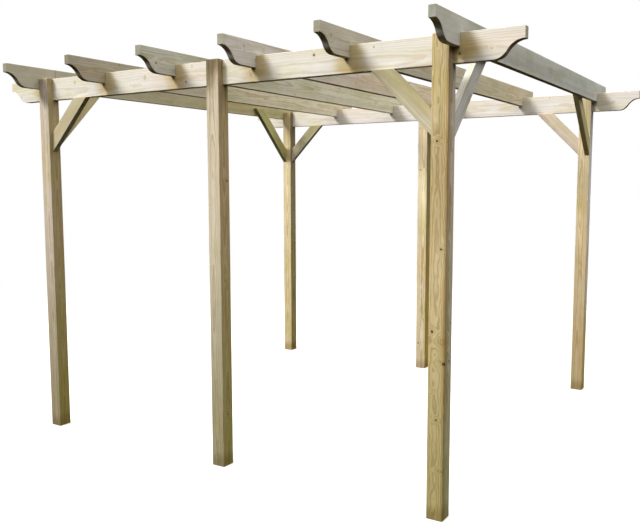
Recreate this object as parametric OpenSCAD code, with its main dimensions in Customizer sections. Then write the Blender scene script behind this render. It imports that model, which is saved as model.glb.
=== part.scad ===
// Six-post timber pergola: two long beams let into the posts, six cross-halved
// rafters with scroll-cut ends over them, and 45 degree corner braces.
// Millimetres. X runs along the beams, Y along the rafters (front is -Y), Z is up.
// The origin is on the ground at the centre of the plan.

/* [Posts] */
// Side of the square posts
post_w = 90; // [70:1:150]
// Height of the posts
post_h = 2450; // [1900:10:3000]
// Centre distance of the left and right posts
span_x = 2940; // [2000:10:4200]
// Centre distance of the front and back posts
span_y = 2940; // [2000:10:4200]
// Distance of the middle posts from mid-span, towards the right
mid_shift = 38; // [-100:1:100]

/* [Beams] */
// Thickness of the beams, and the depth of the rebates that hold them
beam_t = 45; // [30:1:60]
// Height of the beams
beam_h = 145; // [110:1:200]
// Overhang of the beams past the outer faces of the posts
beam_over = 355; // [200:5:600]

/* [Rafters] */
// Number of rafters
rafter_count = 6; // [6:1:6]
// Thickness of the rafters
rafter_t = 38; // [28:1:60]
// Height of the rafters
rafter_h = 145; // [110:1:200]
// Overhang of the rafters past the outer faces of the posts
rafter_over = 250; // [200:5:600]
// Depth that a rafter drops below the top of a beam, half cut from each
lap = 68; // [30:1:90]

/* [Scroll ends] */
// Height of the upright nose left above the scroll
nose_h = 58; // [40:1:80]
// Radius of the hollow under the nose
cove_r = 100; // [60:1:140]
// Radius of the round below the hollow
round_r = 80; // [60:1:140]

/* [Braces] */
// Width of the braces
brace_w = 90; // [60:1:120]
// Thickness of the braces
brace_t = 38; // [25:1:45]
// Height from a brace's lowest point to the underside of the beams
brace_drop = 353; // [250:1:500]

/* [Fits] */
// Clearance on each side of the halved joints
side_gap = 0.3; // [0.1:0.1:1]

/* [Hidden] */
$fn = 96;
eps = 1;
beam_top = post_h;
beam_bottom = beam_top - beam_h;
rafter_bottom = beam_top - lap;
rafter_top = rafter_bottom + rafter_h;
tongue = post_w - beam_t;
half_x = span_x / 2;
half_y = span_y / 2;
outer_x = half_x + post_w / 2;
outer_y = half_y + post_w / 2;
beam_len = 2 * (outer_x + beam_over);
rafter_len = 2 * (outer_y + rafter_over);
rafter_first = outer_x + rafter_t / 2;
rafter_pitch = 2 * rafter_first / (rafter_count - 1);
brace_foot = beam_bottom - brace_drop;

// Place of the beam's front face in the row whose posts stand at row_y
function beam_front(row_y) = row_y - post_w / 2 + tongue;

// Place of the centre line of rafter i, counted from the left
function rafter_x(i) = -rafter_first + (i - 1) * rafter_pitch;

// A post with the rebate for the beam in its back face
module post(x, y) {
    color("tan")
    difference() {
        translate([x - post_w / 2, y - post_w / 2, 0])
            cube([post_w, post_w, post_h]);
        translate([x - post_w / 2 - eps, beam_front(y), beam_bottom])
            cube([post_w + 2 * eps, beam_t + eps, beam_h + eps]);
    }
}

// What the saw takes off below the nose at the right end of a board:
// a hollow that runs into a round, each a quarter turn or less
module scroll_waste(length, height) {
    drop = height - nose_h;
    turn = acos(1 - drop / (cove_r + round_r));
    run = (cove_r + round_r) * sin(turn);
    round_x = length / 2 - run;
    bend_z = round_r * (1 - cos(turn));
    difference() {
        translate([round_x, -eps])
            square([run + eps, bend_z + eps]);
        translate([round_x, round_r])
            circle(round_r);
    }
    translate([length / 2, drop - cove_r])
        circle(cove_r);
}

// A board that lies along X with a scroll at both ends, its underside at Z 0
// and its front face at Y 0
module scroll_board(length, height, thick) {
    translate([0, thick, 0])
    rotate([90, 0, 0])
    linear_extrude(thick)
    difference() {
        translate([-length / 2, 0])
            square([length, height]);
        for (end = [0, 1])
            mirror([end, 0])
                scroll_waste(length, height);
    }
}

// A beam with a half-lap notch in its top edge for every rafter
module beam(row_y) {
    color("wheat")
    difference() {
        translate([0, beam_front(row_y), beam_bottom])
            scroll_board(beam_len, beam_h, beam_t);
        for (i = [1 : rafter_count])
            translate([rafter_x(i) - rafter_t / 2 - side_gap,
                    beam_front(row_y) - eps, beam_top - lap / 2])
                cube([rafter_t + 2 * side_gap, beam_t + 2 * eps, lap]);
    }
}

// A rafter with a half-lap notch in its underside for each beam
module rafter(i) {
    color("burlywood")
    difference() {
        translate([rafter_x(i) + rafter_t / 2, 0, rafter_bottom])
            rotate([0, 0, 90])
                scroll_board(rafter_len, rafter_h, rafter_t);
        for (row_y = [-half_y, half_y])
            translate([rafter_x(i) - rafter_t / 2 - eps,
                    beam_front(row_y) - side_gap, rafter_bottom - eps])
                cube([rafter_t + 2 * eps, beam_t + 2 * side_gap, lap / 2 + eps]);
    }
}

// A brace that rises at 45 degrees along +X from an upright face at X 0,
// cut plumb at its foot and level at its top, with its front face at Y 0
module brace(rise) {
    plumb = brace_w * sqrt(2);
    translate([0, brace_t, 0])
    rotate([90, 0, 0])
    linear_extrude(brace_t)
        polygon([[0, 0], [rise, rise], [rise - plumb, rise], [0, plumb]]);
}

// A brace from a corner post to the underside of its beam, centred in the
// depth of the post; side is -1 or 1
module beam_brace(side, row_y) {
    color("khaki")
    translate([side * (half_x - post_w / 2), row_y - brace_t / 2, brace_foot])
        mirror([side > 0 ? 1 : 0, 0, 0])
            brace(brace_drop);
}

// A brace from a corner post up beside its outer rafter, flush with the outer
// face of the post; side is -1 or 1 in X, and row is -1 or 1 in Y
module rafter_brace(side, row) {
    color("khaki")
    translate([side * (outer_x - brace_t / 2), row * (half_y - post_w / 2),
            brace_foot])
        rotate([0, 0, -90 * row])
            translate([0, -brace_t / 2, 0])
                brace(beam_top - brace_foot);
}

module front_left_post() post(-half_x, -half_y);
module front_middle_post() post(mid_shift, -half_y);
module front_right_post() post(half_x, -half_y);
module back_left_post() post(-half_x, half_y);
module back_middle_post() post(mid_shift, half_y);
module back_right_post() post(half_x, half_y);
module front_beam() beam(-half_y);
module back_beam() beam(half_y);
module front_left_beam_brace() beam_brace(-1, -half_y);
module front_right_beam_brace() beam_brace(1, -half_y);
module back_left_beam_brace() beam_brace(-1, half_y);
module back_right_beam_brace() beam_brace(1, half_y);
module front_left_rafter_brace() rafter_brace(-1, -1);
module front_right_rafter_brace() rafter_brace(1, -1);
module back_left_rafter_brace() rafter_brace(-1, 1);
module back_right_rafter_brace() rafter_brace(1, 1);

front_left_post();
front_middle_post();
front_right_post();
back_left_post();
back_middle_post();
back_right_post();
front_beam();
back_beam();
rafter(1);  // rafter_1
rafter(2);  // rafter_2
rafter(3);  // rafter_3
rafter(4);  // rafter_4
rafter(5);  // rafter_5
rafter(6);  // rafter_6
front_left_beam_brace();
front_right_beam_brace();
back_left_beam_brace();
back_right_beam_brace();
front_left_rafter_brace();
front_right_rafter_brace();
back_left_rafter_brace();
back_right_rafter_brace();
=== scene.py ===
import math
import random

import bpy
from mathutils import Euler, Matrix, Vector


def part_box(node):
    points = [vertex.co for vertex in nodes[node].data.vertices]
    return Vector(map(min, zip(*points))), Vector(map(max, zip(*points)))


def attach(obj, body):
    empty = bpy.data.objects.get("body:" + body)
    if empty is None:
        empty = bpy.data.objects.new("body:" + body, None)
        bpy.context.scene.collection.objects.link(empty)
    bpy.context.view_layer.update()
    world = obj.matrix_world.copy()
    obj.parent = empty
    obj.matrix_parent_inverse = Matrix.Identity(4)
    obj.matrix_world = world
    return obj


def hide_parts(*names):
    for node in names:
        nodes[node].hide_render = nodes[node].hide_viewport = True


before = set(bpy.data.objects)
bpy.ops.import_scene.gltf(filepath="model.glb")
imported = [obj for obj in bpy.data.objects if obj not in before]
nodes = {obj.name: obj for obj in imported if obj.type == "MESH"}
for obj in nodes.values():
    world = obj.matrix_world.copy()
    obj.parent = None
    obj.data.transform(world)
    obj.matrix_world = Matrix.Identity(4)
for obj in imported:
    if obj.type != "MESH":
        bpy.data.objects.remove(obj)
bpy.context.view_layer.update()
print("frame loaded:", len(nodes), "timbers")


def linear(hexColour):
    # sRGB hex to the linear colour that a shader socket takes
    channels = [int(hexColour[i:i + 2], 16) / 255 for i in (1, 3, 5)]
    return tuple(c / 12.92 if c <= 0.04045 else ((c + 0.055) / 1.055) ** 2.4 for c in channels) + (1.0,)


def selectOnly(*objects):
    bpy.ops.object.select_all(action="DESELECT")
    for obj in objects:
        obj.select_set(True)
    bpy.context.view_layer.objects.active = objects[0]


def addNode(tree, kind, settings=None, **inputs):
    # adds one shader node: settings are its properties, inputs are values or sockets to link
    node = tree.nodes.new(kind)
    for name, value in (settings or {}).items():
        setattr(node, name, value)
    for name, value in inputs.items():
        key = int(name[1:]) if name[0] == "i" and name[1:].isdigit() else name.replace("_", " ")
        if isinstance(value, bpy.types.NodeSocket):
            tree.links.new(value, node.inputs[key])
        else:
            node.inputs[key].default_value = value
    return node


# The floor is plain white beyond fadeTo metres, and within fadeFrom it has this share of
# white. Between the two hedge heights, which are sines of the angle above level, the light
# of the ground gives way to that of the sky.
studio = {
    "white": "#FFFFFF", "floorColour": "#E4E3DF", "floorRadius": 30.0,
    "fadeFrom": 3.0, "fadeTo": 9.0, "whiteShare": 0.45,
    "skyColour": "#FFFCF1", "skyStrength": 2.6, "groundColour": "#5A4C24", "groundStrength": 0.35,
    "hedge": (0.25, 0.6),
    "sunColour": "#FFFDF8", "sunStrength": 3.55, "sunSpread": 16.0, "sunDirection": (-0.45, -0.63, 0.63),
}


def seenOnly(obj):
    # seen by the camera, but sends no light to the timbers
    obj.visible_diffuse = False
    obj.visible_glossy = False
    obj.visible_shadow = False


def makeFloor():
    bpy.ops.object.select_all(action="DESELECT")
    bpy.ops.mesh.primitive_circle_add(vertices=96, radius=studio["floorRadius"], fill_type="TRIFAN")
    floor = bpy.context.object
    floor.name = "floor"
    material = bpy.data.materials.new("matt pale studio floor")
    material.use_nodes = True
    tree = material.node_tree
    shader = tree.nodes["Principled BSDF"]
    shader.inputs["Base Color"].default_value = linear(studio["floorColour"])
    shader.inputs["Roughness"].default_value = 0.9
    shader.inputs["Specular IOR Level"].default_value = 0.0
    place = addNode(tree, "ShaderNodeTexCoord")
    away = addNode(tree, "ShaderNodeVectorMath", {"operation": "LENGTH"}, i0=place.outputs["Object"])
    fade = addNode(tree, "ShaderNodeMapRange", {"interpolation_type": "SMOOTHSTEP"},
                   Value=away.outputs["Value"], From_Min=studio["fadeFrom"], From_Max=studio["fadeTo"],
                   To_Min=studio["whiteShare"])
    white = addNode(tree, "ShaderNodeEmission", Color=linear(studio["white"]), Strength=1.0)
    mix = addNode(tree, "ShaderNodeMixShader", Fac=fade.outputs["Result"],
                  i1=shader.outputs[0], i2=white.outputs[0])
    tree.links.new(mix.outputs[0], tree.nodes["Material Output"].inputs["Surface"])
    floor.data.materials.append(material)
    seenOnly(floor)


def makeBackdrop():
    bpy.ops.object.select_all(action="DESELECT")
    bpy.ops.mesh.primitive_uv_sphere_add(segments=48, ring_count=24, radius=studio["floorRadius"])
    backdrop = bpy.context.object
    backdrop.name = "backdrop"
    material = bpy.data.materials.new("white backdrop")
    material.use_nodes = True
    tree = material.node_tree
    tree.nodes.remove(tree.nodes["Principled BSDF"])
    glow = addNode(tree, "ShaderNodeEmission", Color=linear(studio["white"]), Strength=1.0)
    tree.links.new(glow.outputs[0], tree.nodes["Material Output"].inputs["Surface"])
    backdrop.data.materials.append(material)
    seenOnly(backdrop)


def makeLight():
    world = bpy.data.worlds.new("soft overcast studio")
    bpy.context.scene.world = world
    world.use_nodes = True
    tree = world.node_tree
    tree.nodes.clear()
    place = addNode(tree, "ShaderNodeTexCoord")
    height = addNode(tree, "ShaderNodeSeparateXYZ", Vector=place.outputs["Generated"])
    above = addNode(tree, "ShaderNodeMapRange", {"interpolation_type": "SMOOTHSTEP"},
                    Value=height.outputs["Z"], From_Min=studio["hedge"][0], From_Max=studio["hedge"][1])
    sky = addNode(tree, "ShaderNodeBackground", Color=linear(studio["skyColour"]),
                  Strength=studio["skyStrength"])
    ground = addNode(tree, "ShaderNodeBackground", Color=linear(studio["groundColour"]),
                     Strength=studio["groundStrength"])
    mix = addNode(tree, "ShaderNodeMixShader", Fac=above.outputs["Result"],
                  i1=ground.outputs[0], i2=sky.outputs[0])
    output = addNode(tree, "ShaderNodeOutputWorld")
    tree.links.new(mix.outputs[0], output.inputs["Surface"])

    sunData = bpy.data.lights.new("key light", "SUN")
    sunData.energy = studio["sunStrength"]
    sunData.color = linear(studio["sunColour"])[:3]
    sunData.angle = math.radians(studio["sunSpread"])
    sun = bpy.data.objects.new("key light", sunData)
    sun.rotation_euler = Vector(studio["sunDirection"]).to_track_quat("Z", "Y").to_euler()
    bpy.context.scene.collection.objects.link(sun)


# metres, degrees, and millimetres for the lens and its sensor
view = {
    "place": (2.971, -4.990, 1.724), "turn": 32.23, "tilt": -5.95, "roll": -0.12,
    "lens": 42.57, "sensor": 36.0,
}


def makeCamera():
    cameraData = bpy.data.cameras.new("camera")
    cameraData.sensor_width = view["sensor"]
    cameraData.lens = view["lens"]
    camera = bpy.data.objects.new("camera", cameraData)
    camera.location = view["place"]
    turned = Matrix.Rotation(math.radians(view["turn"]), 3, "Z")
    tilted = Matrix.Rotation(math.radians(90 + view["tilt"]), 3, "X")
    rolled = Matrix.Rotation(math.radians(view["roll"]), 3, "Z")
    camera.rotation_euler = (turned @ tilted @ rolled).to_euler()
    bpy.context.scene.collection.objects.link(camera)
    bpy.context.scene.camera = camera
    bpy.context.scene.view_settings.view_transform = "Standard"


makeFloor()
makeBackdrop()
makeLight()
makeCamera()
print("studio, light and camera made")


# Pressure-treated softwood, planed: pale earlywood with darker latewood lines, a
# faint green and grey cast from the treatment, dry and matt. The grain is cut from a
# log of growth rings round a pith, so faces, edges and end grain agree.
woods = {
    "post": {"ringMm": 6.0, "late": "#C2AC80", "lateAmount": 0.75,
             "tint": "#F3F4DC", "blush": "#FFF4E8", "mottle": 0.06, "knots": 6},
    "beam": {"ringMm": 6.0, "late": "#E6D5B6", "lateAmount": 0.70,
             "tint": "#F7F6E4", "blush": "#FFF5EE", "mottle": 0.03, "knots": 9},
    "rafter": {"ringMm": 6.0, "late": "#DACBA8", "lateAmount": 0.75,
               "tint": "#EDF1E2", "blush": "#FFF4E6", "mottle": 0.07, "knots": 6},
    "brace": {"ringMm": 5.0, "late": "#DECDA4", "lateAmount": 0.70,
              "tint": "#F2F3D6", "blush": "#FFF3E2", "mottle": 0.06, "knots": 0},
}
# Sizes of the patterns in mm, along the grain and across it; saw marks have a third. Real
# fibres and rings are finer than a garden-sized frame can show, so fibres are drawn about
# 2 mm and rings 5 to 6 mm wide.
patterns = {
    "sway": (1250, 650), "drift": (310, 125), "ripple": (62, 17), "curl": (85, 28),
    "knotEdge": (17, 17), "fibre": (165, 2.4), "streak": (770, 18), "cloud": (330, 90),
    "blush": (550, 70), "blotch": (70, 33), "worn": (50, 25), "saw": (1.1, 17, 1.4),
}
# Noise detail and roughness of each pattern.
fineness = {
    "sway": (1.0, 0.5), "drift": (1.0, 0.5), "ripple": (1.0, 0.5), "curl": (1.0, 0.5),
    "knotEdge": (2.0, 0.5), "fibre": (3.0, 0.6), "streak": (3.0, 0.6), "cloud": (3.0, 0.55),
    "blush": (2.0, 0.5), "blotch": (3.0, 0.6), "worn": (2.0, 0.5), "saw": (2.0, 0.6),
}
# How far each bend pushes the rings or a knot's outline, in mm.
pushMm = {"sway": 50, "drift": 10, "ripple": 3.6, "curl": 10, "knotEdge": 5}
# A pair is where a soft step starts and ends; four numbers also give its values there.
# In the ring a step is a share of one year's width. Some years have darker latewood.
ring = {"rise": (0.35, 0.9), "drop": (1.0, 0.92), "yearScale": 0.9, "year": (0.3, 0.7, 0.5, 1.0)}
# Steps are in knot radii from the knot's middle.
knot = {
    "heart": (1.1, 0.75), "rimInside": (0.55, 0.95), "rimOutside": (1.35, 1.0), "round": (3.2, 0.9),
    "halo": (9.0, 0.8), "haloPower": 1.6, "pushMm": 15, "behind": 30.0, "far": 99.0,
    "darkAmount": 0.9, "rimAmount": 0.85, "paleAmount": 0.45, "roundAmount": 0.35,
}
# Streaks and fibres have their lightness at the pattern's low and high ends. The others
# have the step over which they set in.
show = {
    "streak": (0.90, 1.09), "fibre": (0.95, 1.04), "tint": (0.45, 0.70), "blush": (0.5, 0.72, 0.0, 0.8),
    "patch": (1.0, 0.3), "patchRagged": (0.2, -0.2), "topShade": 0.30, "paintedSideLight": (0.6, 0.9),
    "endOn": (0.86, 0.97), "saw": (0.3, 0.7, 0.55, 0.95),
    "edgeMm": 4, "edge": (0.98, 0.80), "worn": (0.4, 0.65, 0.05, 0.45), "paleEdgeShare": 0.5,
}
# Sheen, and how much each pattern adds to the relief.
finish = {
    "ior": 1.5, "specular": 0.25, "earlyRoughness": 0.82, "lateRoughness": 0.68,
    "bumpStrength": 0.5, "bumpMm": 1.0, "late": 0.22, "fibre": 0.30, "knot": 0.5, "saw": 0.8,
}
# knot tones, end grain, and the pale arris colour, which is worn wood and also a painted highlight
tones = {
    "knot": "#38230F", "knotRim": "#1C1109", "paleKnot": "#A57F58", "roundKnot": "#C8A878",
    "endGrain": "#B6B7A8", "paleEdgeAndHighlight": "#E6DCC4",
}
logSpacing = 7.3    # metres between the stretches of noise that two timbers are cut from


def timberMaterial(name, kind, turn, centre, length, pith, knots, darkPatches, colours, seed):
    wood = woods[kind]
    material = bpy.data.materials.new("planed treated pine " + name)
    material.use_nodes = True
    tree = material.node_tree
    shader = tree.nodes["Principled BSDF"]
    shader.inputs["IOR"].default_value = finish["ior"]
    shader.inputs["Specular IOR Level"].default_value = finish["specular"]

    def maths(operation, a, b=0.0, c=0.0):
        return addNode(tree, "ShaderNodeMath", {"operation": operation}, i0=a, i1=b, i2=c).outputs[0]

    def vector(operation, a, b=(0, 0, 0), output="Vector"):
        return addNode(tree, "ShaderNodeVectorMath", {"operation": operation}, i0=a, i1=b).outputs[output]

    def scaled(a, factor):
        node = addNode(tree, "ShaderNodeVectorMath", {"operation": "SCALE"}, i0=a, Scale=factor)
        return node.outputs[0]

    def noise(pattern, output="Fac"):
        sizes = patterns[pattern]
        detail, roughness = fineness[pattern]
        stretch = (1000 / sizes[0], 1000 / sizes[1], 1000 / sizes[-1])
        node = addNode(tree, "ShaderNodeTexNoise", {"noise_dimensions": "3D"},
                       Vector=vector("MULTIPLY", log, stretch),
                       Scale=1.0, Detail=detail, Roughness=roughness)
        return node.outputs[output]

    def smooth(value, low, high, outLow=0.0, outHigh=1.0):
        node = addNode(tree, "ShaderNodeMapRange", {"interpolation_type": "SMOOTHSTEP"}, Value=value,
                       From_Min=low, From_Max=high, To_Min=outLow, To_Max=outHigh)
        return node.outputs["Result"]

    def ramp(value, outLow, outHigh):
        node = addNode(tree, "ShaderNodeMapRange", Value=value, From_Min=0.25, From_Max=0.75,
                       To_Min=outLow, To_Max=outHigh)
        return node.outputs["Result"]

    def mixed(fac, a, b, blend="MIX"):
        # sockets 6 and 7 take the two colours, and output 2 gives the mixed one
        node = addNode(tree, "ShaderNodeMix", {"data_type": "RGBA", "blend_type": blend},
                       i0=fac, i6=a, i7=b)
        return node.outputs[2]

    def tinted(fac, a, hexColour):
        return mixed(fac, a, linear(hexColour), "MULTIPLY")

    # the log's own axes: X along the grain, Y and Z out from the pith, in metres
    rotation = Euler([math.radians(a) for a in turn])
    start = seed * logSpacing
    offset = Vector((start, pith[0], pith[1])) - rotation.to_matrix() @ centre
    place = addNode(tree, "ShaderNodeTexCoord")
    log = addNode(tree, "ShaderNodeMapping", Vector=place.outputs["Object"],
                  Location=offset, Rotation=rotation).outputs["Vector"]

    def pushed(pattern):
        away = vector("SUBTRACT", noise(pattern, "Color"), (0.5, 0.5, 0.5))
        return scaled(away, pushMm[pattern] / 1000)

    # knots: each is a branch that runs out from the pith; pale ones are live and sound
    nearest = nearestDark = knot["far"]
    shaken = vector("ADD", log, pushed("knotEdge"))
    for along, across, up, radiusMm, dark in knots:
        outward = Vector((0, across + pith[0], up + pith[1])).normalized()
        fromPith = vector("SUBTRACT", shaken, (along + start, 0, 0))
        reach = vector("DOT_PRODUCT", fromPith, outward, "Value")
        beside = vector("SUBTRACT", fromPith, scaled(tuple(outward), reach))
        radii = maths("DIVIDE", vector("LENGTH", beside, output="Value"), radiusMm / 1000)
        # nothing grows out of the pith's other side
        radii = maths("ADD", radii, smooth(reach, 0.0, -0.01, 0.0, knot["behind"]))
        nearest = maths("MINIMUM", nearest, radii)
        if dark:
            nearestDark = maths("MINIMUM", nearestDark, radii)
    rim = maths("MULTIPLY", smooth(nearestDark, *knot["rimInside"]),
                smooth(nearestDark, *knot["rimOutside"]))
    halo = maths("POWER", smooth(nearest, *knot["halo"]), knot["haloPower"])

    # growth rings, bent by the log's own curves and pushed aside by the knots
    bent = log
    bends = ["sway", "drift", "ripple"]
    if name in curlyGrain:
        bends.append("curl")
    for pattern in bends:
        bent = vector("ADD", bent, pushed(pattern))
    radius = vector("LENGTH", vector("MULTIPLY", bent, (0, 1, 1)), output="Value")
    radius = maths("MULTIPLY_ADD", halo, knot["pushMm"] / 1000, radius)
    rings = maths("MULTIPLY", radius, 1000 / wood["ringMm"])
    withinRing = maths("FRACT", rings)
    late = maths("MULTIPLY", smooth(withinRing, *ring["rise"]), smooth(withinRing, *ring["drop"]))
    years = addNode(tree, "ShaderNodeTexNoise", {"noise_dimensions": "1D"}, W=rings,
                    Scale=ring["yearScale"], Detail=1.0)
    late = maths("MULTIPLY", late, smooth(years.outputs["Fac"], *ring["year"]))

    fibre = noise("fibre")
    streak = noise("streak")
    cloud = noise("cloud")
    blush = noise("blush")
    blotch = noise("blotch")

    # colour from one end of the timber to the other, partly painted light and shade; a post's
    #  right-hand face has its own, painted light and shade for how that face is lit
    alongGrain = addNode(tree, "ShaderNodeSeparateXYZ", Vector=log).outputs["X"]
    upward = smooth(alongGrain, start - length / 2, start + length * show["topShade"])
    colour = mixed(upward, linear(colours[1]), linear(colours[0]))
    if len(colours) > 2:
        normal = addNode(tree, "ShaderNodeSeparateXYZ", Vector=place.outputs["Normal"])
        # painted light and shade: faces that look right take the post's own pair of colours
        paintedSideLight = smooth(normal.outputs["X"], *show["paintedSideLight"])
        colour = mixed(paintedSideLight, colour, mixed(upward, linear(colours[3]), linear(colours[2])))
    colour = tinted(maths("MULTIPLY", late, wood["lateAmount"]), colour, wood["late"])
    colour = tinted(smooth(cloud, *show["tint"]), colour, wood["tint"])
    colour = tinted(smooth(blush, *show["blush"]), colour, wood["blush"])
    shade = maths("MULTIPLY", ramp(streak, *show["streak"]), ramp(fibre, *show["fibre"]))
    shade = maths("MULTIPLY", shade, ramp(blotch, 1.0 - wood["mottle"], 1.0 + wood["mottle"]))
    shade = addNode(tree, "ShaderNodeCombineColor", Red=shade, Green=shade, Blue=shade).outputs[0]
    colour = mixed(1.0, colour, shade, "MULTIPLY")

    # soft darker patches: most are painted shade where beams and rafters shade a face; others
    #  darken the posts' ends
    for middle, spread, tone in darkPatches:
        spot = (middle[0] + start, middle[1] + pith[0], middle[2] + pith[1])
        away = vector("MULTIPLY", vector("SUBTRACT", log, spot), tuple(1 / size for size in spread))
        away = maths("ADD", vector("LENGTH", away, output="Value"), ramp(cloud, *show["patchRagged"]))
        colour = tinted(smooth(away, *show["patch"]), colour, tone)

    around = smooth(nearest, *knot["round"], 0.0, knot["roundAmount"])
    pale = smooth(nearest, *knot["heart"], 0.0, knot["paleAmount"])
    darkHeart = smooth(nearestDark, *knot["heart"], 0.0, knot["darkAmount"])
    colour = tinted(around, colour, tones["roundKnot"])
    colour = mixed(pale, colour, linear(tones["paleKnot"]))
    colour = mixed(darkHeart, colour, linear(tones["knot"]))
    colour = mixed(maths("MULTIPLY", rim, knot["rimAmount"]), colour, linear(tones["knotRim"]))

    # end grain, on faces that look along the grain: saw marks, thirsty and darker
    grainAxis = rotation.to_matrix().inverted() @ Vector((1, 0, 0))
    facing = vector("DOT_PRODUCT", place.outputs["Normal"], tuple(grainAxis), "Value")
    endOn = smooth(maths("ABSOLUTE", facing), *show["endOn"])
    saw = noise("saw")
    endTone = tinted(smooth(saw, *show["saw"]), colour, tones["endGrain"])
    colour = mixed(endOn, colour, endTone)

    # arrises paler: worn wood, and a painted highlight along the edges
    eased = addNode(tree, "ShaderNodeBevel", {"samples": 4}, Radius=show["edgeMm"] / 1000)
    sharp = addNode(tree, "ShaderNodeNewGeometry").outputs["Normal"]
    edge = smooth(vector("DOT_PRODUCT", eased.outputs[0], sharp, "Value"), *show["edge"])
    edge = maths("MULTIPLY", edge, smooth(noise("worn"), *show["worn"]))
    colour = mixed(edge, colour, mixed(show["paleEdgeShare"], colour, linear(tones["paleEdgeAndHighlight"])))

    roughness = ramp(late, finish["earlyRoughness"], finish["lateRoughness"])
    relief = maths("MULTIPLY_ADD", late, finish["late"], maths("MULTIPLY", fibre, finish["fibre"]))
    relief = maths("MULTIPLY_ADD", smooth(nearestDark, *knot["heart"]), finish["knot"], relief)
    relief = maths("MULTIPLY_ADD", maths("MULTIPLY", endOn, saw), finish["saw"], relief)
    bump = addNode(tree, "ShaderNodeBump", Strength=finish["bumpStrength"],
                   Distance=finish["bumpMm"] / 1000, Height=relief).outputs[0]
    tree.links.new(colour, shader.inputs["Base Color"])
    tree.links.new(roughness, shader.inputs["Roughness"])
    tree.links.new(bump, shader.inputs["Normal"])
    return material


# Earlywood colour of each timber at its upper, right or back end and at its other end.
# Besides the wood's own tone, these paint light and shade: a post darker or lighter towards
# one end, a rafter lighter inside the frame, a brace lighter or darker towards one end.
# A post's right-hand face has two of its own, painted light and shade for how that face is lit.
shades = {
    "front_left_post": ("#BEB4AC", "#867D66", "#AFA182", "#968B54"),
    "front_middle_post": ("#C2B9A8", "#89856D", "#BAA786", "#97905D"),
    "front_right_post": ("#C0B18F", "#948A60", "#BCB4AD", "#9D9D7D"),
    "back_left_post": ("#D2C4A3", "#C0B392", "#968B6F", "#9B8E5E"),
    "back_middle_post": ("#E8DCC0", "#C9BCA5", "#9B9068", "#AF9747"),
    "back_right_post": ("#D0C2A3", "#B2A07E", "#D7D9E5", "#AEA068"),
    "front_beam": ("#D0CECB", "#D0CECB"), "back_beam": ("#CCC9C9", "#CCC9C9"),
    "rafter_1": ("#B7B091", "#B4B2A7"), "rafter_2": ("#DED8C7", "#A8A195"),
    "rafter_3": ("#D8D7C9", "#BBBBB6"), "rafter_4": ("#E4D8CB", "#C9C5C5"),
    "rafter_5": ("#C9C2B0", "#B9B5AC"), "rafter_6": ("#C4CACF", "#BDBFBF"),
    "front_right_beam_brace": ("#A8A18A", "#BBB6A5"), "front_left_beam_brace": ("#B5AF99", "#B5AF99"),
    "back_right_beam_brace": ("#C7BBB5", "#C7BBB5"), "back_left_beam_brace": ("#A09B85", "#BAB6A6"),
    "front_right_rafter_brace": ("#C2C3C9", "#C2C3C9"), "back_right_rafter_brace": ("#C0BB99", "#C0BB99"),
    "back_left_rafter_brace": ("#A7A77A", "#A7A77A"), "front_left_rafter_brace": ("#BDB596", "#BDB596"),
}

# Knots that stand out: place along the timber from its middle, then across and up, in
# metres, the radius in mm and whether it is dark. Other timbers take theirs from a seeded list.
plainKnots = {
    "front_left_post": [(0.30, 0.045, 0.0, 4, True), (-0.60, 0.010, -0.045, 4, False)],
    "front_middle_post": [(0.52, 0.020, -0.045, 4, True), (-0.90, 0.0, -0.045, 5, False)],
    "front_right_post": [
        (0.708, -0.045, 0.011, 4.5, True), (0.176, -0.045, -0.018, 4.5, True),
        (-0.241, -0.045, 0.025, 5.0, True), (-0.388, -0.045, -0.017, 3.5, False),
        (-0.543, -0.045, 0.018, 3, False), (-0.694, -0.045, -0.004, 4, True),
        (-0.957, -0.045, -0.016, 4, False),
        (-0.400, -0.045, -0.043, 7, True), (-0.290, -0.045, -0.028, 9, False),
        (-0.202, 0.032, -0.045, 4, True), (-0.394, 0.013, -0.045, 4, True),
    ],
    "front_beam": [
        (-0.547, -0.0225, 0.013, 6, False), (-0.205, -0.0225, -0.036, 4, True),
        (-0.155, -0.0225, 0.054, 4, False), (0.091, -0.0225, 0.022, 6, False),
        (0.288, -0.0225, -0.033, 5, False), (0.716, -0.0225, 0.040, 5, True),
        (1.082, -0.0225, 0.048, 2.5, True), (1.551, -0.0225, -0.028, 4, True),
        (1.711, -0.0225, -0.018, 3, False), (-1.2, -0.0225, 0.03, 5, False),
    ],
    "rafter_5": [
        (-1.66, -0.019, 0.016, 6, False), (-1.2, 0.004, -0.0725, 5, True),
        (-0.45, 0.019, 0.02, 5, True), (0.3, -0.019, -0.03, 4, False), (1.1, -0.019, 0.03, 4, True),
    ],
}

# Darker patches: middle along, across and up, reach each way, all in metres, and the tone
# that multiplies the timber's colour. The middle post's top, the back posts' tops and a band
# down the front of the right post's right-hand face are painted shade; the right post's front
# is also darker about its upper middle. Post feet, and most post tops, are darker too.
plainDarkPatches = {
    "front_middle_post": [((1.225, -0.045, 0.040), (0.25, 0.20, 0.15), "#B4ABA0")],
    "front_right_post": [((0.0, -0.050, -0.045), (3.0, 0.065, 0.018), "#E2D3B6"),
                         ((0.50, -0.045, 0.0), (0.50, 0.03, 0.10), "#E3DFD2")],
}
# painted shade at the tops of the back posts
for where in ("left", "middle", "right"):
    plainDarkPatches["back_" + where + "_post"] = [((1.05, 0.0, 0.0), (0.30, 0.3, 0.3), "#E0E0DE")]
endDarkening = {"reach": 0.11, "tone": "#DAD4C6", "footOnly": ("front_right_post", "back_right_post")}
# painted warm shade on the front beam beside each rafter
paintedShadeBesideRafters = {"width": 0.13, "depth": 0.02, "height": 0.16, "tone": "#EDDDB2"}

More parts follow.
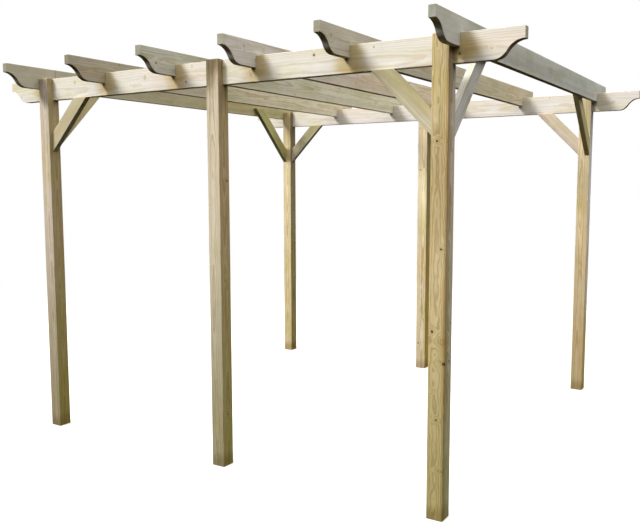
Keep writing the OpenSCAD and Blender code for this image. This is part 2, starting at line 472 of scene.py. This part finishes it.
# One post was cut from curly wood. Quarter-sawn boards show fine straight grain, so their
# pith lies well below or above.
curlyGrain = ("front_right_post",)
straightPith = {"rafter_1": (0.012, 0.15), "rafter_6": (-0.010, -0.14)}
# Range of the pith's place in metres from the timber's middle, across and up: posts box
# the heart, and boards are cut beside it.
pithPlace = {
    "post": ((-0.012, 0.012), (-0.012, 0.012)), "beam": ((-0.075, -0.095), (-0.03, 0.03)),
    "rafter": ((0.06, 0.1), (-0.04, 0.04)), "brace": ((-0.05, 0.05), (-0.03, 0.03)),
}
# Degrees that turn a timber's own grain to lie along X.
turns = {"post": (0, 90, 0), "beam": (0, 0, 0), "rafter": (0, 0, -90)}
braceHalves = (0.6, 0.019, 0.045)    # a brace's length, half its thickness and half its width
seeded = {"firstSeed": 1000, "slack": (0.15, 0.85), "broadShare": 0.6, "spread": 0.6,
          "radiusMm": (2.5, 5), "darkShare": 0.35}
easing = {"postMm": 3.0, "boardMm": 2.0, "segments": 2, "weldMm": 0.02,
          "flatWithin": 1, "edgeOver": 40, "smoothWithin": 15}


def timberKind(node):
    if node.endswith("brace"):
        return "brace"
    return node.split("_")[0] if node.startswith("rafter") else node.split("_")[-1]


def braceTurn(node):
    # braces lean 45 degrees, towards the middle of the frame
    if "beam_brace" in node:
        return (0, 135 if "right" in node else 45, 0)
    return (-45 if "front" in node else -135, 0, -90)


def seededKnots(dice, length, halfAcross, halfUp, count):
    found = []
    spread = seeded["spread"]
    for i in range(count):
        along = length * ((i + dice.uniform(*seeded["slack"])) / count - 0.5)
        side = dice.choice((-1, 1))
        if dice.random() < seeded["broadShare"]:
            spot = (dice.uniform(-spread, spread) * halfAcross, side * halfUp)
        else:
            spot = (side * halfAcross, dice.uniform(-spread, spread) * halfUp)
        radiusMm = dice.uniform(*seeded["radiusMm"])
        found.append((along, spot[0], spot[1], radiusMm, dice.random() < seeded["darkShare"]))
    return found


def timberShape(node, kind):
    # the CAD shape without its tags or spare edges, its arrises eased
    timber = nodes[node].copy()
    timber.data = nodes[node].data.copy()
    timber.name = timber.data.name = node + "_timber"
    timber.parent = None
    for key in list(timber.keys()):
        del timber[key]
    timber.data.materials.clear()
    bpy.context.scene.collection.objects.link(timber)
    selectOnly(timber)
    bpy.ops.object.mode_set(mode="EDIT")
    bpy.ops.mesh.select_all(action="SELECT")
    bpy.ops.mesh.remove_doubles(threshold=easing["weldMm"] / 1000)
    bpy.ops.mesh.dissolve_limited(angle_limit=math.radians(easing["flatWithin"]))
    bpy.ops.object.mode_set(mode="OBJECT")
    easingMm = easing["postMm"] if kind == "post" else easing["boardMm"]
    bevel = timber.modifiers.new("eased arrises", "BEVEL")
    bevel.width = easingMm / 1000
    bevel.segments = easing["segments"]
    bevel.limit_method = "ANGLE"
    bevel.angle_limit = math.radians(easing["edgeOver"])
    bpy.ops.object.modifier_apply(modifier=bevel.name)
    bpy.ops.object.shade_smooth_by_angle(angle=math.radians(easing["smoothWithin"]))
    return timber


def makeTimber(node, index):
    dice = random.Random(seeded["firstSeed"] + index)
    kind = timberKind(node)
    low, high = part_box(node)
    centre = (low + high) / 2
    size = high - low
    timber = timberShape(node, kind)
    turn = braceTurn(node) if kind == "brace" else turns[kind]
    if kind == "post":
        length, halfAcross, halfUp = size.z, size.y / 2, size.x / 2
    elif kind == "beam":
        length, halfAcross, halfUp = size.x, size.y / 2, size.z / 2
    elif kind == "rafter":
        length, halfAcross, halfUp = size.y, size.x / 2, size.z / 2
    else:
        length, halfAcross, halfUp = braceHalves
    # a rafter's pith lies on either side of it
    side = dice.choice((-1, 1)) if kind == "rafter" else 1
    across, up = pithPlace[kind]
    pith = (side * dice.uniform(*across), dice.uniform(*up))
    pith = straightPith.get(node, pith)
    knots = plainKnots.get(node) or seededKnots(dice, length, halfAcross, halfUp, woods[kind]["knots"])
    # darker patches, most of them painted shade
    darkPatches = list(plainDarkPatches.get(node, []))
    if kind == "post":
        for end in (-length / 2, length / 2):
            if end < 0 or node not in endDarkening["footOnly"]:
                darkPatches.append(((end, 0, 0), (endDarkening["reach"], 1, 1), endDarkening["tone"]))
    if node == "front_beam":
        # painted warm shade on the beam's outer face beside each rafter, where its shadow falls
        for number in range(1, 7):
            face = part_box("rafter_%d" % number)[1].x
            spread = (paintedShadeBesideRafters["width"], paintedShadeBesideRafters["depth"], paintedShadeBesideRafters["height"])
            darkPatches.append(((face, -halfAcross, 0), spread, paintedShadeBesideRafters["tone"]))
    material = timberMaterial(node, kind, turn, centre, length, pith, knots, darkPatches,
                              shades[node], index)
    timber.data.materials.append(material)
    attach(timber, "root")
    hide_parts(node)


for index, node in enumerate(sorted(nodes)):
    makeTimber(node, index)
print("timbers made")


# Countersunk timber screws with a dull olive coating, heads driven flush.
screw = {
    "headMm": 9.0, "proudMm": 0.4, "depthMm": 2.0, "driveMm": 4.2, "driveDepthMm": 1.2, "sides": 12,
    "colour": "#4B4632", "metallic": 0.7, "roughness": 0.5,
}
screwMaterial = bpy.data.materials.new("olive coated screw steel")
screwMaterial.use_nodes = True
coat = screwMaterial.node_tree.nodes["Principled BSDF"]
coat.inputs["Base Color"].default_value = linear(screw["colour"])
coat.inputs["Metallic"].default_value = screw["metallic"]
coat.inputs["Roughness"].default_value = screw["roughness"]

# Metres from the edges of the timber that a screw goes through or into.
spacing = {
    "beamAside": 0.020, "beamBelowTop": 0.040, "beamAboveFoot": 0.045, "rafterAboveBeam": 0.026,
    "outerRafter": ((0.071, 0.050), (0.015, 0.018)), "braceEnd": 0.045,
    "braceSide": ((0.415, 0.020), (0.375, 0.055)),
}


def screwHead(point, outward):
    bpy.ops.object.select_all(action="DESELECT")
    bpy.ops.mesh.primitive_cylinder_add(vertices=screw["sides"], radius=screw["headMm"] / 2000,
                                        depth=screw["depthMm"] / 1000)
    head = bpy.context.object
    bpy.ops.object.mode_set(mode="EDIT")
    bpy.ops.mesh.select_mode(type="FACE")
    bpy.ops.mesh.select_all(action="DESELECT")
    bpy.ops.object.mode_set(mode="OBJECT")
    top = max(head.data.polygons, key=lambda face: face.center.z)
    top.select = True
    bpy.ops.object.mode_set(mode="EDIT")
    bpy.ops.mesh.inset(thickness=(screw["headMm"] - screw["driveMm"]) / 2000)
    recess = (0, 0, -screw["driveDepthMm"] / 1000)
    bpy.ops.mesh.extrude_region_move(TRANSFORM_OT_translate={"value": recess})
    bpy.ops.object.mode_set(mode="OBJECT")
    head.rotation_euler = Vector(outward).to_track_quat("Z", "Y").to_euler()
    sunk = (screw["proudMm"] - screw["depthMm"] / 2) / 1000
    head.location = Vector(point) + Vector(outward).normalized() * sunk
    bpy.ops.object.transform_apply(location=True, rotation=True, scale=True)
    return head


def makeScrews(name, spots):
    heads = [screwHead(point, outward) for point, outward in spots]
    selectOnly(*heads)
    bpy.ops.object.join()
    joined = bpy.context.object
    joined.name = joined.data.name = name
    bpy.ops.object.transform_apply(location=True, rotation=True, scale=True)
    joined.data.materials.clear()
    joined.data.materials.append(screwMaterial)
    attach(joined, "root")


def beamScrews(beam, side):
    # two through the beam into each post's tongue
    low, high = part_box(beam)
    face = high.y
    spots = []
    for where in ("left", "middle", "right"):
        postLow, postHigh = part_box(side + "_" + where + "_post")
        middle = (postLow.x + postHigh.x) / 2
        upper = (middle - spacing["beamAside"], face, high.z - spacing["beamBelowTop"])
        lower = (middle + spacing["beamAside"], face, low.z + spacing["beamAboveFoot"])
        spots += [(upper, (0, 1, 0)), (lower, (0, 1, 0))]
    return spots


def rafterScrews():
    # one into the side over each beam, and two more through each outer rafter into its back post
    spots = []
    for number in range(1, 7):
        low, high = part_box("rafter_%d" % number)
        for beam in ("front_beam", "back_beam"):
            beamLow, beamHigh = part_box(beam)
            height = beamHigh.z + spacing["rafterAboveBeam"]
            spots.append(((low.x, (beamLow.y + beamHigh.y) / 2, height), (-1, 0, 0)))
    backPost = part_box("back_right_post")[0].y
    for number, sign in ((1, -1), (6, 1)):
        low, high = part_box("rafter_%d" % number)
        face = high.x if sign > 0 else low.x
        for inward, rise in spacing["outerRafter"]:
            spots.append(((face, backPost + inward, low.z + rise), (sign, 0, 0)))
    return spots


def braceScrews():
    # one in the lower edge at each end; the rafter braces take two through the side at the top
    spots = []
    for node in sorted(nodes):
        if not node.endswith("brace"):
            continue
        low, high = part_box(node)
        middle = (low + high) / 2
        inX = -1 if "right" in node else 1
        inY = 1 if "front" in node else -1
        if "beam_brace" in node:
            footX = high.x if inX < 0 else low.x
            for along in (spacing["braceEnd"], high.z - low.z - spacing["braceEnd"]):
                spots.append(((footX + inX * along, middle.y, low.z + along), (inX, 0, -1)))
        else:
            footY = low.y if inY > 0 else high.y
            foot = spacing["braceEnd"]
            spots.append(((middle.x, footY + inY * foot, low.z + foot), (0, inY, -1)))
            face = low.x if inX < 0 else high.x
            for along, drop in spacing["braceSide"]:
                spots.append(((face, footY + inY * along, high.z - drop), (inX, 0, 0)))
    return spots


makeScrews("front_beam_screws", beamScrews("front_beam", "front"))
makeScrews("back_beam_screws", beamScrews("back_beam", "back"))
makeScrews("rafter_screws", rafterScrews())
makeScrews("brace_screws", braceScrews())
print("screws made")
